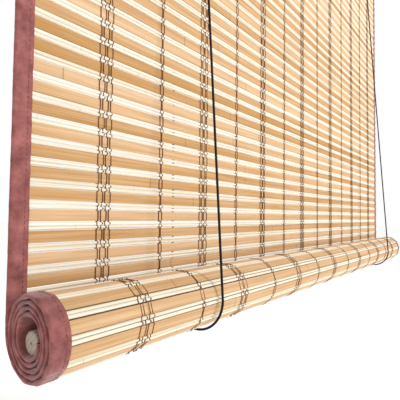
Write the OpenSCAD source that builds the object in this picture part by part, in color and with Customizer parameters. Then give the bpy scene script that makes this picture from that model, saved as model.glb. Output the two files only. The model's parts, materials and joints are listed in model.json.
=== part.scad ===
// Roll-up blind of woven bamboo slats and sticks, half raised.
// Frame: +X to the right along the blind, -Y to the room, +Z up.
// The origin is midway between the two wall holes, on the wall's face.

/* [Panel] */
// Width of the blind over both edge tapes
width = 1000; // [700:10:1400]
// Height of one woven row: a slat and two sticks
pitch = 16; // [15.9:0.1:16.4]
// Height of a flat slat
slat_h = 9; // [8:0.1:9.2]
// Thickness of a flat slat
slat_t = 1.4; // [1:0.1:1.8]
// Diameter of a round stick
stick_d = 2.9; // [2.6:0.1:3]
// Visible width of an edge tape
tape_w = 14; // [12:1:24]
// Thickness over both layers of an edge tape and what they hold
tape_t = 3.5; // [3.3:0.05:3.6]
// Rows that hang below the rails' top
hanging_rows = 45; // [45:1:60]
// Rows of those that still hang when the blind is fully raised
upper_rows = 7; // [5:1:12]

/* [Roll] */
// Rows wound on the dowel
wound_rows = 37; // [36:1:38]
// Radius from the dowel's axis to the middle of the outermost turn
roll_r = 29.15; // [29:0.05:30]
// Growth in radius of one turn of the winding
turn_pitch = 3.7; // [3.7:0.05:3.8]
// Diameter of the bottom dowel
dowel_d = 16; // [12:0.5:16]

/* [Warp threads] */
// Distance between two wide warp bands
band_step = 140; // [120:5:160]
// Distance from the edge to the first wide warp band
band_edge = 80; // [60:5:90]
// Width of a wide warp band of four threads
band_wide = 14; // [8:0.5:16]
// Width of a narrow warp band of two threads
band_narrow = 5; // [3:0.5:6]
// Thickness of a warp thread
thread_t = 0.4; // [0.3:0.05:0.45]

/* [Rails] */
// Height of both rails
rail_h = 30; // [28:1:36]
// Depth of the front rail
front_rail_t = 20; // [16:1:24]
// Depth of the rear rail
rear_rail_t = 12; // [12:1:12]
// Distance from the wall to the panel's middle plane
panel_gap = 30; // [30:1:34]
// Distance from the wall holes down to the rails' top
rail_drop = 22; // [22:1:30]

/* [Fittings] */
// Distance between the two wall holes
bracket_span = 760; // [500:10:900]
// Radius of a wall hole
wall_hole_r = 2.5; // [2:0.1:3]
// Distance from the left edge to the left lift cord
cord_left = 174; // [168:1:250]
// Distance from the left edge to the right lift cord
cord_right = 855; // [820:5:860]
// Diameter of a lift cord
cord_d = 2.5; // [2:0.1:2.6]
// Radius at which a cord's axis runs round a wheel
wheel_run = 8; // [8:0.1:8.2]
// Diameter of the wheel pins
pin_d = 3; // [2.5:0.1:3]
// Radial clearance of a wheel on its pin
pin_gap = 0.05; // [0.03:0.01:0.08]

/* [Hidden] */
$fn = 48;
left_x = -width / 2;
right_x = width / 2;
panel_y = -panel_gap;
rail_top = -rail_drop;
rail_bottom = rail_top - rail_h;
front_face = panel_y - 2;
rear_face = panel_y + 2;
rear_mid = rear_face + rear_rail_t / 2;
// the first row starts just under the rails' top
panel_top = rail_top - 0.6;
// the roll's axis is level with the point where the panel leaves the roll
roll_z = panel_top - hanging_rows * pitch - 3.4;
roll_y = panel_y - roll_r;
straight = panel_top - roll_z;
stick_gap = (pitch - slat_h - 2 * stick_d - 0.5) / 2;
stick_1 = slat_h + 0.5 + stick_d / 2;
stick_2 = stick_1 + stick_d + stick_gap;
upper_end = panel_top - upper_rows * pitch;
inner_w = width - 2 * tape_w;
bands_wide = [for (x = [band_edge : band_step : width - band_edge]) left_x + x];
bands_narrow = [for (x = [band_edge + band_step / 2 : band_step : width - band_edge]) left_x + x];
cord_xs = [left_x + cord_left, left_x + cord_right];
cord_r = cord_d / 2;
wound_length = wound_rows * pitch - 4;
// turns of the winding, from its outer end to the dowel
wound_turn = (roll_r - sqrt(roll_r * roll_r - turn_pitch * wound_length / PI)) * 360 / turn_pitch;
// the dowel lies on the sticks at the bottom of the innermost full turn
bottom_turn = 90 + 360 * floor((wound_turn - 90) / 360);
dowel_drop = roll_r - turn_pitch * bottom_turn / 360 - stick_d / 2 - 0.1 - dowel_d / 2;
// the last slat but one is nailed to the dowel
nailed_at = (hanging_rows + wound_rows - 2) * pitch + slat_h / 2;
nail_xs = [for (i = [-3 : 3]) i * 150];
// the cord's loop lies close under the roll
loop_r = roll_r + tape_t / 2 + cord_r + 0.15;
loop_z = roll_z - 0.5;
eye_y = front_face - front_rail_t / 2 - 3;
eye_z = rail_bottom - 6;
run_high = rail_bottom - 6;
wheel_z = [run_high - wheel_run - 4, run_high - wheel_run];
lock_x = left_x + 20;
// the lock sits behind its screws, clear of the panel
lock_y = rear_mid + 4.5;
cam_x = lock_x + 15;
tail_end = run_high - 36;
bracket_xs = [-bracket_span / 2, bracket_span / 2];
clamp_xs = [for (i = [-3 : 3]) i * 155];
clamp_z = panel_top - pitch - slat_h / 2;

// Angle round the roll, from its outer end, at a length wound in from that end
function wound_angle(s) =
    (roll_r - sqrt(roll_r * roll_r - turn_pitch * s / PI)) * 360 / turn_pitch;
// Radius of the winding's middle line at that angle
function wound_radius(a) = roll_r - turn_pitch * a / 360;
// Point of the winding, offset outwards, in the plane across the roll
function wound_point(a, out) =
    [(wound_radius(a) + out) * cos(a), -(wound_radius(a) + out) * sin(a)];
// Corner angles of the spiral outlines
function spiral_steps(a0, a1) =
    let (n = ceil((a1 - a0) / 12)) [for (i = [0 : n]) a0 + (a1 - a0) * i / n];

// Puts a piece drawn round the origin at a length down the cloth
module on_cloth(s) {
    if (s <= straight) {
        translate([0, panel_y, panel_top - s]) children();
    } else {
        a = wound_angle(s - straight);
        translate([0, roll_y, roll_z])
            rotate([-a, 0, 0])
                translate([0, wound_radius(a), 0]) children();
    }
}

// Round bar between two points
module rod(p, q, r) {
    d = q - p;
    translate(p)
        rotate([0, acos(d[2] / norm(d)), atan2(d[1], d[0])])
            cylinder(h = norm(d), r = r, $fn = 24);
}

// Band across the cloth drawn in the plane across the roll, from x0 to x1
module across(x0, x1) {
    translate([x0, roll_y, roll_z]) rotate([90, 0, 90]) linear_extrude(x1 - x0) children();
}

// Screw with a round head, point upwards, head face at the origin
module screw_up(length, d) {
    cylinder(h = length, d = d, $fn = 24);
    translate([0, 0, -1.8]) cylinder(h = 1.8, d = d * 1.8, $fn = 24);
}

module slats(first, last) {
    for (i = [first : last]) {
        on_cloth(i * pitch + slat_h / 2)
            cube([inner_w, slat_t, slat_h], center = true);
    }
}

module sticks(first, last) {
    for (i = [first : last], at = [stick_1, stick_2]) {
        on_cloth(i * pitch + at)
            rotate([0, 90, 0]) cylinder(h = inner_w, d = stick_d, center = true, $fn = 12);
    }
}

module front_rail() {
    color("burlywood")
    difference() {
        translate([left_x, front_face - front_rail_t, rail_bottom])
            cube([width, front_rail_t, rail_h]);
        for (x = bracket_xs)
            translate([x, front_face - 10, rail_top - 16]) cylinder(h = 20, d = 4);
        for (x = clamp_xs)
            translate([x, front_face + 1, clamp_z]) rotate([90, 0, 0]) cylinder(h = 11, d = 3.5);
        for (x = cord_xs)
            translate([x, eye_y, rail_bottom - 1]) cylinder(h = 13, d = 2);
    }
}

module rear_rail() {
    color("burlywood")
    difference() {
        translate([left_x, rear_face, rail_bottom]) cube([width, rear_rail_t, rail_h]);
        for (x = bracket_xs)
            translate([x, rear_mid, rail_top - 16]) cylinder(h = 20, d = 4);
        for (x = clamp_xs)
            translate([x, rear_face + rear_rail_t + 1, clamp_z])
                rotate([90, 0, 0]) cylinder(h = rear_rail_t + 2, d = 3.5);
        for (x = [cord_xs[0] - wheel_run, cord_xs[1] - wheel_run, lock_x, lock_x + 20])
            translate([x, rear_mid, rail_bottom - 1]) cylinder(h = 10, d = 3);
    }
}

// Steel angle: one leg on the wall, the other over both rails
module wall_bracket(x) {
    color("gainsboro")
    difference() {
        union() {
            translate([x - 12, -2, rail_top]) cube([24, 2, rail_drop + 14]);
            translate([x - 12, front_face - 16, rail_top]) cube([24, -front_face + 16, 2]);
        }
        translate([x, 1, 0]) rotate([90, 0, 0]) cylinder(h = 4, r = wall_hole_r);
        translate([x, front_face - 10, rail_top - 1]) cylinder(h = 4, d = 4);
        translate([x, rear_mid, rail_top - 1]) cylinder(h = 4, d = 4);
    }
}

module bracket_screws() {
    color("silver")
    for (x = bracket_xs, y = [front_face - 10, rear_mid]) {
        translate([x, y, rail_top + 2]) mirror([0, 0, 1]) screw_up(18, 4);
    }
}

module clamp_screws() {
    color("silver")
    for (x = clamp_xs) {
        translate([x, rear_face + rear_rail_t, clamp_z]) rotate([90, 0, 0]) screw_up(26, 3.5);
    }
}

// Screw eye that a lift cord is tied to
module cord_eye(x) {
    color("silver")
    translate([x, eye_y, 0]) {
        translate([0, 0, eye_z]) rotate([90, 0, 0])
            rotate_extrude() translate([4, 0]) circle(r = 1, $fn = 24);
        translate([0, 0, eye_z + 4]) cylinder(h = rail_bottom - eye_z - 4 + 12, d = 2, $fn = 24);
    }
}

// Yoke of a head pulley, screwed under the rear rail
module pulley_block(i) {
    color("lightgray")
    translate([cord_xs[i] - wheel_run, rear_mid, 0])
    difference() {
        union() {
            translate([-9, -5, rail_bottom - 1.5]) cube([18, 10, 1.5]);
            for (y = [-5, 3.5])
                translate([-7, y, wheel_z[i] - 5]) cube([14, 1.5, rail_bottom - wheel_z[i] + 4]);
        }
        translate([0, 0, rail_bottom - 2]) cylinder(h = 3, d = 3);
        translate([0, 6, wheel_z[i]]) rotate([90, 0, 0]) cylinder(h = 12, d = pin_d);
    }
}

module pulley_pins() {
    color("silver")
    for (i = [0, 1]) {
        translate([cord_xs[i] - wheel_run, rear_mid + 5, wheel_z[i]]) rotate([90, 0, 0]) {
            cylinder(h = 10, d = pin_d);
            translate([0, 0, -0.8]) cylinder(h = 0.8, d = pin_d + 1.6);
            translate([0, 0, 10]) cylinder(h = 0.8, d = pin_d + 1.6);
        }
    }
}

module pulley_screws() {
    color("silver")
    for (x = cord_xs) {
        translate([x - wheel_run, rear_mid, rail_bottom - 1.5]) screw_up(10.5, 3);
    }
}

// Grooved wheel, its bore along Y
module wheel(thick, grooves) {
    rotate([90, 0, 0])
    difference() {
        cylinder(h = thick, r = wheel_run + 1, center = true);
        cylinder(h = thick + 1, d = pin_d + 2 * pin_gap, center = true);
        for (g = grooves) {
            translate([0, 0, g]) rotate_extrude()
                translate([wheel_run, 0]) circle(r = cord_r + 0.3, $fn = 32);
        }
    }
}

module pulley_wheel(i) {
    color("white") translate([cord_xs[i] - wheel_run, rear_mid, wheel_z[i]]) wheel(5, [0]);
}

// Channel of the cord lock, screwed under the rear rail
module lock_body() {
    color("lightgray")
    translate([lock_x, lock_y, 0])
    difference() {
        union() {
            translate([-11, -9.5, rail_bottom - 1.5]) cube([38, 19, 1.5]);
            for (y = [-9.5, 8])
                translate([-11, y, rail_bottom - 32]) cube([38, 1.5, 31]);
        }
        for (x = [0, 20]) translate([x, rear_mid - lock_y, rail_bottom - 2]) cylinder(h = 3, d = 3);
        translate([0, 10, run_high - wheel_run]) rotate([90, 0, 0]) cylinder(h = 20, d = pin_d);
        translate([cam_x - lock_x, 10, run_high - wheel_run - 3])
            rotate([90, 0, 0]) cylinder(h = 20, d = pin_d);
    }
}

module lock_pins() {
    color("silver")
    for (p = [[lock_x, run_high - wheel_run], [cam_x, run_high - wheel_run - 3]]) {
        translate([p[0], lock_y + 9.5, p[1]]) rotate([90, 0, 0]) {
            cylinder(h = 19, d = pin_d);
            translate([0, 0, -0.8]) cylinder(h = 0.8, d = pin_d + 1.6);
            translate([0, 0, 19]) cylinder(h = 0.8, d = pin_d + 1.6);
        }
    }
}

module lock_screws() {
    color("silver")
    for (x = [lock_x, lock_x + 20]) {
        translate([x, rear_mid, rail_bottom - 1.5]) screw_up(10.5, 3);
    }
}

module lock_roller() {
    color("white") translate([lock_x, lock_y, run_high - wheel_run]) wheel(14, [-3, 3]);
}

// Cam that grips both cords against the channel's top
module lock_cam() {
    color("dimgray")
    translate([cam_x, lock_y, run_high - wheel_run - 3]) rotate([90, 0, 0])
    difference() {
        union() {
            cylinder(h = 14, r = 4, center = true);
            translate([2, 0, -7]) cube([6, 3.6, 14]);
            translate([-1.5, 0, -7]) cube([3.5, wheel_run + 1.5, 14]);
        }
        cylinder(h = 15, d = pin_d + 2 * pin_gap, center = true);
    }
}

module upper_slats() {
    color("peru")
    difference() {
        slats(0, upper_rows - 1);
        for (x = clamp_xs)
            translate([x, panel_y + 2, clamp_z]) rotate([90, 0, 0]) cylinder(h = 4, d = 3.5);
    }
}

module upper_sticks() {
    color("cornsilk") sticks(0, upper_rows - 1);
}

module panel_slats() {
    color("peru") slats(upper_rows, hanging_rows - 1);
}

module panel_sticks() {
    color("cornsilk") sticks(upper_rows, hanging_rows - 1);
}

// Warp band in front of or behind the hanging rows, between two heights
module band(x, w, side, top, bottom) {
    translate([x, panel_y + side * (stick_d + thread_t) / 2, (top + bottom) / 2])
        cube([w, thread_t, top - bottom], center = true);
}

module bands(top, bottom) {
    color("saddlebrown")
    for (side = [-1, 1]) {
        for (x = bands_wide) band(x, band_wide, side, top, bottom);
        for (x = bands_narrow) band(x, band_narrow, side, top, bottom);
    }
}

module panel_tape(x, top, bottom) {
    color("rosybrown") translate([x, panel_y - tape_t / 2, bottom]) cube([tape_w, tape_t, top - bottom]);
}

// Lift cord from its knot at the eye down to the roll's front
module cord_front(x) {
    color("black") {
        translate([x, eye_y, eye_z - 7.6]) sphere(r = 2.5, $fn = 24);
        rod([x, eye_y, eye_z - 7.6], [x, roll_y - loop_r, loop_z + 0.3], cord_r);
    }
}

// Lift cord from the roll's rear up to its head pulley
module cord_rear(i) {
    color("black")
    rod([cord_xs[i], roll_y + loop_r, loop_z + 0.3], [cord_xs[i], rear_mid, wheel_z[i] - 0.3], cord_r);
}

// Points of a quarter turn in the plane across Y, between two angles
function quarter(c, a0, a1) =
    [for (i = [0 : 6]) let (a = a0 + (a1 - a0) * i / 6) c + wheel_run * [cos(a), 0, sin(a)]];

// Eight corners of a tube's ring round a point, square to its direction
function ring(p, t, r) =
    let (a = cross(t, [0, 1, 0]) / norm(cross(t, [0, 1, 0])), b = cross(t, a))
    [for (k = [0 : 7]) p + r * (cos(k * 45) * a + sin(k * 45) * b)];

// Tube swept along points, with one radius for each
module tube(points, radii) {
    last = len(points) - 1;
    steps = [for (i = [0 : last]) points[min(i + 1, last)] - points[max(i - 1, 0)]];
    corners = [for (i = [0 : last]) each ring(points[i], steps[i] / norm(steps[i]), radii[i])];
    sides = [for (i = [0 : last - 1], k = [0 : 7])
        [8 * i + k, 8 * (i + 1) + k, 8 * (i + 1) + (k + 1) % 8, 8 * i + (k + 1) % 8]];
    ends = [[for (k = [0 : 7]) k], [for (k = [7 : -1 : 0]) 8 * last + k]];
    polyhedron(points = corners, faces = concat(ends, sides), convexity = 6);
}

// Lift cord over the pulley, along the rear rail and through the lock
module cord_head(i) {
    y_end = lock_y + (i == 0 ? -3 : 3);
    top = wheel_z[i] + wheel_run;
    knot = [0, -1, -2.5, -4, -5];
    route = concat(
        quarter([cord_xs[i] - wheel_run, rear_mid, wheel_z[i]], 0, 90),
        [[cord_xs[0] - 24, rear_mid, top], [lock_x + 24, y_end, run_high]],
        quarter([lock_x, y_end, run_high - wheel_run], 90, 180),
        [for (dz = knot) [lock_x - wheel_run, y_end, tail_end + dz]]);
    radii = concat([for (i = [1 : len(route) - len(knot)]) cord_r], [cord_r, 2, 2.5, 2, 0.8]);
    color("black") tube(route, radii);
}

// Slack half turn of cord under the roll
module cord_loop(x) {
    color("black")
    translate([x, roll_y, loop_z]) rotate([0, 90, 0]) rotate([0, 0, -90])
        rotate_extrude(angle = 180) translate([loop_r, 0]) circle(r = cord_r, $fn = 24);
}

module bottom_dowel() {
    color("tan")
    difference() {
        translate([left_x + 3, roll_y, roll_z - dowel_drop])
            rotate([0, 90, 0]) cylinder(h = width - 6, d = dowel_d);
        nail_shanks();
    }
}

// Shanks of the nails, square to the slat that they hold
module nail_shanks() {
    for (x = nail_xs)
        on_cloth(nailed_at) translate([x, slat_t / 2, 0])
            rotate([90, 0, 0]) cylinder(h = 9, d = 1.2, $fn = 16);
}

module dowel_nails() {
    color("silver") {
        nail_shanks();
        for (x = nail_xs)
            on_cloth(nailed_at) translate([x, slat_t / 2 + 0.5, 0])
                rotate([90, 0, 0]) cylinder(h = 0.5, d = 3, $fn = 16);
    }
}

module roll_slats() {
    color("peru")
    difference() {
        slats(hanging_rows, hanging_rows + wound_rows - 1);
        nail_shanks();
    }
}

module roll_sticks() {
    color("cornsilk") sticks(hanging_rows, hanging_rows + wound_rows - 1);
}

// Outline of one layer of the winding between two angles
module spiral(a0, a1, low, high) {
    steps = spiral_steps(a0, a1);
    outer = [for (a = steps) wound_point(a, high)];
    inner = [for (i = [len(steps) - 1 : -1 : 0]) wound_point(steps[i], low)];
    polygon(concat(outer, inner));
}

module roll_threads() {
    color("saddlebrown") {
        for (x = bands_wide)
            across(x - band_wide / 2, x + band_wide / 2)
                spiral(3, 348, stick_d / 2 + 0.25, stick_d / 2 + thread_t + 0.15);
        for (x = bands_narrow)
            across(x - band_narrow / 2, x + band_narrow / 2)
                spiral(3, 348, stick_d / 2 + 0.25, stick_d / 2 + thread_t + 0.15);
    }
}

module roll_tape(x) {
    color("rosybrown")
    across(x, x + tape_w) spiral(0.6, wound_turn, -tape_t / 2 + 0.3, tape_t / 2 - 0.1);
}

front_rail();
rear_rail();
wall_bracket(bracket_xs[0]);  // wall_bracket_left
wall_bracket(bracket_xs[1]);  // wall_bracket_right
bracket_screws();
clamp_screws();
cord_eye(cord_xs[0]);  // cord_eye_left
cord_eye(cord_xs[1]);  // cord_eye_right
pulley_block(0);  // pulley_block_left
pulley_block(1);  // pulley_block_right
pulley_pins();
pulley_screws();
pulley_wheel(0);  // pulley_wheel_left
pulley_wheel(1);  // pulley_wheel_right
lock_body();
lock_pins();
lock_screws();
lock_roller();
lock_cam();
upper_slats();
upper_sticks();
bands(rail_bottom - 2, upper_end);  // upper_threads
panel_tape(left_x, panel_top, upper_end);  // upper_tape_left
panel_tape(right_x - tape_w, panel_top, upper_end);  // upper_tape_right
panel_slats();
panel_sticks();
bands(upper_end, roll_z + 2);  // panel_threads
panel_tape(left_x, upper_end, roll_z + 0.2);  // panel_tape_left
panel_tape(right_x - tape_w, upper_end, roll_z + 0.2);  // panel_tape_right
cord_front(cord_xs[0]);  // cord_front_left
cord_front(cord_xs[1]);  // cord_front_right
cord_rear(0);  // cord_rear_left
cord_rear(1);  // cord_rear_right
cord_head(0);  // cord_head_left
cord_head(1);  // cord_head_right
cord_loop(cord_xs[0]);  // cord_loop_left
cord_loop(cord_xs[1]);  // cord_loop_right
bottom_dowel();
dowel_nails();
roll_slats();
roll_sticks();
roll_threads();
roll_tape(left_x);  // roll_tape_left
roll_tape(right_x - tape_w);  // roll_tape_right
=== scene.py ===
"""Roll-up blind of woven bamboo: its visible pieces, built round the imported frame.

The cloth of slats, sticks and warp threads hangs from two rails, and its lower part is wound
in front of itself round a dowel. Two lift cords carry the roll. Everything is in metres, in
the frame's own axes: +X along the blind, -Y to the room, +Z up.
"""
import json
import logging
import math
import random
from contextlib import contextmanager
from dataclasses import dataclass
from enum import Enum
from typing import Callable, Dict, Iterable, Iterator, List, Optional, Sequence, Tuple, Union

import bmesh
import bpy
import numpy as np
from mathutils import Matrix, Vector, noise

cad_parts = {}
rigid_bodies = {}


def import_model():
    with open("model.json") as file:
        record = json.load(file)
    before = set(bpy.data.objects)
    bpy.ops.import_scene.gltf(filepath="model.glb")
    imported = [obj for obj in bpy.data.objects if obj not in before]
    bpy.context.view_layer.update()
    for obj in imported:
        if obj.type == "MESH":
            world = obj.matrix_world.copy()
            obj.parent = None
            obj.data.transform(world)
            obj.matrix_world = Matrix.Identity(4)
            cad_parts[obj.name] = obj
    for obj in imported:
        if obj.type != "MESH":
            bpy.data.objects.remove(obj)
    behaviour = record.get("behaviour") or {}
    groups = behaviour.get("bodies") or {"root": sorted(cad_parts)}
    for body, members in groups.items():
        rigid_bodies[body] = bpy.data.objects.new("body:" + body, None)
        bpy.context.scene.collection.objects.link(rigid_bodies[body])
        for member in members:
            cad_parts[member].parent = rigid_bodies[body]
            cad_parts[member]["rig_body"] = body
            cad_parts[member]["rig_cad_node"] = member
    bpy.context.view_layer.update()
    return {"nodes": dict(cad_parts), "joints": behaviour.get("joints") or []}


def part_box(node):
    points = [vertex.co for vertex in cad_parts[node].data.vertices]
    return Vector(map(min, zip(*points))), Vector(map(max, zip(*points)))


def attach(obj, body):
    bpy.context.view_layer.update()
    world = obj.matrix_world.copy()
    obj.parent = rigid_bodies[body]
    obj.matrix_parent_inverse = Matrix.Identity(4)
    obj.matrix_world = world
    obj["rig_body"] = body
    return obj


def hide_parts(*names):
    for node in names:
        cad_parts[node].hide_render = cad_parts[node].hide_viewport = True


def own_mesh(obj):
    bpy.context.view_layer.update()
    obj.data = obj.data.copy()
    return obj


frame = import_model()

LOG = logging.getLogger("blind")
MM = 0.001
SocketValue = Union[float, Sequence[float], bpy.types.NodeSocket]


# ---------------------------------------------------------------- the workbench


def deselect() -> None:
    """Deselects every object."""
    bpy.ops.object.select_all(action="DESELECT")


def activate(piece: bpy.types.Object) -> None:
    """Makes one piece the only selected and the active object."""
    deselect()
    piece.select_set(True)
    bpy.context.view_layer.objects.active = piece


def settle(piece: bpy.types.Object) -> bpy.types.Object:
    """Moves a piece's place into its mesh and returns the piece."""
    activate(piece)
    bpy.ops.object.transform_apply(location=True, rotation=True, scale=True)
    return piece


def add_block(name: str, low: Sequence[float], high: Sequence[float]) -> bpy.types.Object:
    """Adds a block between two corners.

    Args:
        name: The piece's name.
        low: Its lowest corner.
        high: Its highest corner.

    Returns:
        The new piece, at the origin.
    """
    deselect()
    size = Vector(high) - Vector(low)
    middle = (Vector(high) + Vector(low)) / 2
    bpy.ops.mesh.primitive_cube_add(size=1, location=middle, scale=size)
    piece = bpy.context.object
    piece.name = name
    return settle(piece)


def add_bar(name: str, start: Sequence[float], end: Sequence[float], radius: float,
            sides: int) -> bpy.types.Object:
    """Adds a round bar between two points.

    Args:
        name: The piece's name.
        start: The middle of one end.
        end: The middle of the other end.
        radius: The bar's radius.
        sides: The number of its sides.

    Returns:
        The new piece, at the origin.
    """
    deselect()
    axis = Vector(end) - Vector(start)
    bpy.ops.mesh.primitive_cylinder_add(
        vertices=sides, radius=radius, depth=axis.length,
        location=(Vector(start) + Vector(end)) / 2,
        rotation=axis.to_track_quat("Z", "Y").to_euler())
    piece = bpy.context.object
    piece.name = name
    return settle(piece)


def modify(piece: bpy.types.Object, kind: str, **settings: object) -> bpy.types.Object:
    """Adds a modifier with its settings, applies it and returns the piece."""
    activate(piece)
    modifier = piece.modifiers.new(kind.title(), kind)
    for name, value in settings.items():
        setattr(modifier, name, value)
    bpy.ops.object.modifier_apply(modifier=modifier.name)
    return piece


def smooth(piece: bpy.types.Object, angle: float = 35.0) -> bpy.types.Object:
    """Shades a piece smooth except at edges sharper than an angle in degrees."""
    activate(piece)
    bpy.ops.object.shade_smooth_by_angle(angle=math.radians(angle))
    return piece


@contextmanager
def editing(piece: bpy.types.Object) -> Iterator[bmesh.types.BMesh]:
    """Opens a piece in edit mode with nothing selected.

    Args:
        piece: The piece to edit.

    Yields:
        The edit mesh.
    """
    activate(piece)
    bpy.ops.object.mode_set(mode="EDIT")
    bpy.ops.mesh.select_all(action="DESELECT")
    yield bmesh.from_edit_mesh(piece.data)
    bpy.ops.object.mode_set(mode="OBJECT")


def pick(mesh: bmesh.types.BMesh, parts: Iterable, wanted: Callable[[object], bool]) -> None:
    """Selects the edges or faces of an edit mesh that pass a test."""
    for part in parts:
        if wanted(part):
            part.select_set(True)
    mesh.select_flush_mode()


def pick_edges(piece: bpy.types.Object, mesh: bmesh.types.BMesh,
               wanted: Callable[[bmesh.types.BMEdge], bool]) -> None:
    """Selects the edges of a piece in edit mode that pass a test."""
    bpy.ops.mesh.select_mode(type="EDGE")
    pick(mesh, mesh.edges, wanted)
    bmesh.update_edit_mesh(piece.data)


def copy_of(master: bpy.types.Object, name: str, place: Matrix) -> bpy.types.Object:
    """Copies a master piece, with its own mesh, to a place.

    Args:
        master: The piece to copy.
        name: The copy's name.
        place: The matrix that moves the master to the copy's place.

    Returns:
        The copy, at the origin.
    """
    copy = master.copy()
    copy.data = master.data.copy()
    copy.name = name
    bpy.context.scene.collection.objects.link(copy)
    copy.data.transform(place)
    return copy


def join(name: str, pieces: Sequence[bpy.types.Object]) -> bpy.types.Object:
    """Joins pieces into one and returns it under a name."""
    activate(pieces[0])
    for piece in pieces:
        piece.select_set(True)
    bpy.ops.object.join()
    pieces[0].name = name
    return pieces[0]


def discard(piece: bpy.types.Object) -> None:
    """Removes a master piece that has been copied."""
    bpy.data.objects.remove(piece, do_unlink=True)


def points_of(piece: bpy.types.Object) -> np.ndarray:
    """Returns a piece's vertices as rows of x, y and z."""
    return np.array([v.co for v in piece.data.vertices], float).reshape(-1, 3)


def set_points(piece: bpy.types.Object, points: np.ndarray) -> None:
    """Writes rows of x, y and z back to a piece's vertices."""
    piece.data.vertices.foreach_set("co", points.astype(np.float32).ravel())
    piece.data.update()


def set_vectors(piece: bpy.types.Object, name: str, values: np.ndarray) -> None:
    """Stores one vector for each vertex of a piece under an attribute's name."""
    attribute = piece.data.attributes.new(name, "FLOAT_VECTOR", "POINT")
    attribute.data.foreach_set("vector", values.astype(np.float32).ravel())


def set_tone(piece: bpy.types.Object, tone: float) -> None:
    """Stores one tone for all of a piece, which its material reads."""
    attribute = piece.data.attributes.new("tone", "FLOAT", "POINT")
    attribute.data.foreach_set("value", [tone] * len(piece.data.vertices))


def add_wires(name: str, routes: Sequence[np.ndarray], radius: float,
              resolution: int = 1) -> bpy.types.Object:
    """Makes one mesh of round wires with closed ends along routes.

    Args:
        name: The piece's name.
        routes: For each wire, its points as rows of x, y and z.
        radius: The wires' radius.
        resolution: How round the wires are: 1 gives six sides.

    Returns:
        The new piece, at the origin.
    """
    curve = bpy.data.curves.new(name, "CURVE")
    curve.dimensions = "3D"
    curve.bevel_depth = radius
    curve.bevel_resolution = resolution
    curve.use_fill_caps = True
    for route in routes:
        spline = curve.splines.new("POLY")
        spline.points.add(len(route) - 1)
        rows = np.hstack([route, np.ones((len(route), 1))])
        spline.points.foreach_set("co", rows.ravel())
    piece = bpy.data.objects.new(name, curve)
    bpy.context.scene.collection.objects.link(piece)
    activate(piece)
    bpy.ops.object.convert(target="MESH")
    piece = bpy.context.object
    return smooth(piece, 60)


def add_grid(name: str, points: np.ndarray) -> bpy.types.Object:
    """Makes an open sheet from a grid of points.

    Args:
        name: The piece's name.
        points: The points, as rows, columns and x, y, z.

    Returns:
        The new piece, at the origin.
    """
    rows, columns, _ = points.shape
    index = np.arange(rows * columns).reshape(rows, columns)
    faces = np.stack([index[:-1, :-1], index[1:, :-1], index[1:, 1:], index[:-1, 1:]], -1)
    mesh = bpy.data.meshes.new(name)
    mesh.from_pydata(points.reshape(-1, 3).tolist(), [], faces.reshape(-1, 4).tolist())
    piece = bpy.data.objects.new(name, mesh)
    bpy.context.scene.collection.objects.link(piece)
    return piece


def wander(*where: float) -> float:
    """Returns a smooth, repeatable value from -1 to 1 at a place in noise space."""
    return noise.noise(Vector((where + (0.0, 0.0))[:3]))


# ---------------------------------------------------------------- finishes


def colour(code: str) -> Tuple[float, float, float, float]:
    """Turns an sRGB hex code into a linear colour with alpha."""
    parts = [int(code[i:i + 2], 16) / 255 for i in (1, 3, 5)]
    linear = [c / 12.92 if c <= 0.04045 else ((c + 0.055) / 1.055) ** 2.4 for c in parts]
    return (*linear, 1.0)


def add_node(tree: bpy.types.NodeTree, kind: str,
             inputs: Optional[Dict[Union[str, int], SocketValue]] = None,
             **settings: object) -> bpy.types.Node:
    """Adds a node with its settings, and sets or links its inputs.

    Args:
        tree: The material's node tree.
        kind: The node's type, without the ShaderNode in front.
        inputs: Values by input name or number; a socket is linked.
        settings: The node's own properties.

    Returns:
        The new node.
    """
    node = tree.nodes.new("ShaderNode" + kind)
    for name, value in settings.items():
        setattr(node, name, value)
    for key, value in (inputs or {}).items():
        if isinstance(value, bpy.types.NodeSocket):
            tree.links.new(value, node.inputs[key])
        else:
            node.inputs[key].default_value = value
    return node


def add_ramp(tree: bpy.types.NodeTree, factor: bpy.types.NodeSocket,
             stops: Sequence[Tuple[float, str]]) -> bpy.types.NodeSocket:
    """Adds a colour ramp over a factor, with (place, hex colour) stops, and returns its colour."""
    ramp = add_node(tree, "ValToRGB", {"Fac": factor})
    elements = ramp.color_ramp.elements
    while len(elements) < len(stops):
        elements.new(0.5)
    for element, (place, code) in zip(elements, stops):
        element.position = place
        element.color = colour(code)
    return ramp.outputs["Color"]


@dataclass(frozen=True)
class Finish:
    """A material: its name, the record's slot that it fills, and its plain shader values."""

    name: str
    slot: str
    roughness: float = 0.5

    def start(self) -> Tuple[bpy.types.Material, bpy.types.NodeTree, bpy.types.Node]:
        """Makes the material and returns it with its tree and its shader."""
        material = bpy.data.materials.new(self.name)
        material.use_nodes = True
        tree = material.node_tree
        shader = tree.nodes["Principled BSDF"]
        shader.inputs["Roughness"].default_value = self.roughness
        return material, tree, shader

    def make(self) -> bpy.types.Material:
        """Builds the material's nodes and returns it."""
        raise NotImplementedError

    def dress(self, piece: bpy.types.Object) -> bpy.types.Object:
        """Puts the finish on a piece and returns the piece."""
        material = bpy.data.materials.get(self.name) or self.make()
        piece.data.materials.clear()
        piece.data.materials.append(material)
        return piece

    def dress_node(self, node: str) -> None:
        """Puts the finish on a CAD node that stays in view."""
        material = bpy.data.materials.get(self.name) or self.make()
        piece = frame["nodes"][node]
        for place in piece.material_slots:
            place.material = material
        LOG.info("%s keeps its CAD shape, in %s", node, self.name)


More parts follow.
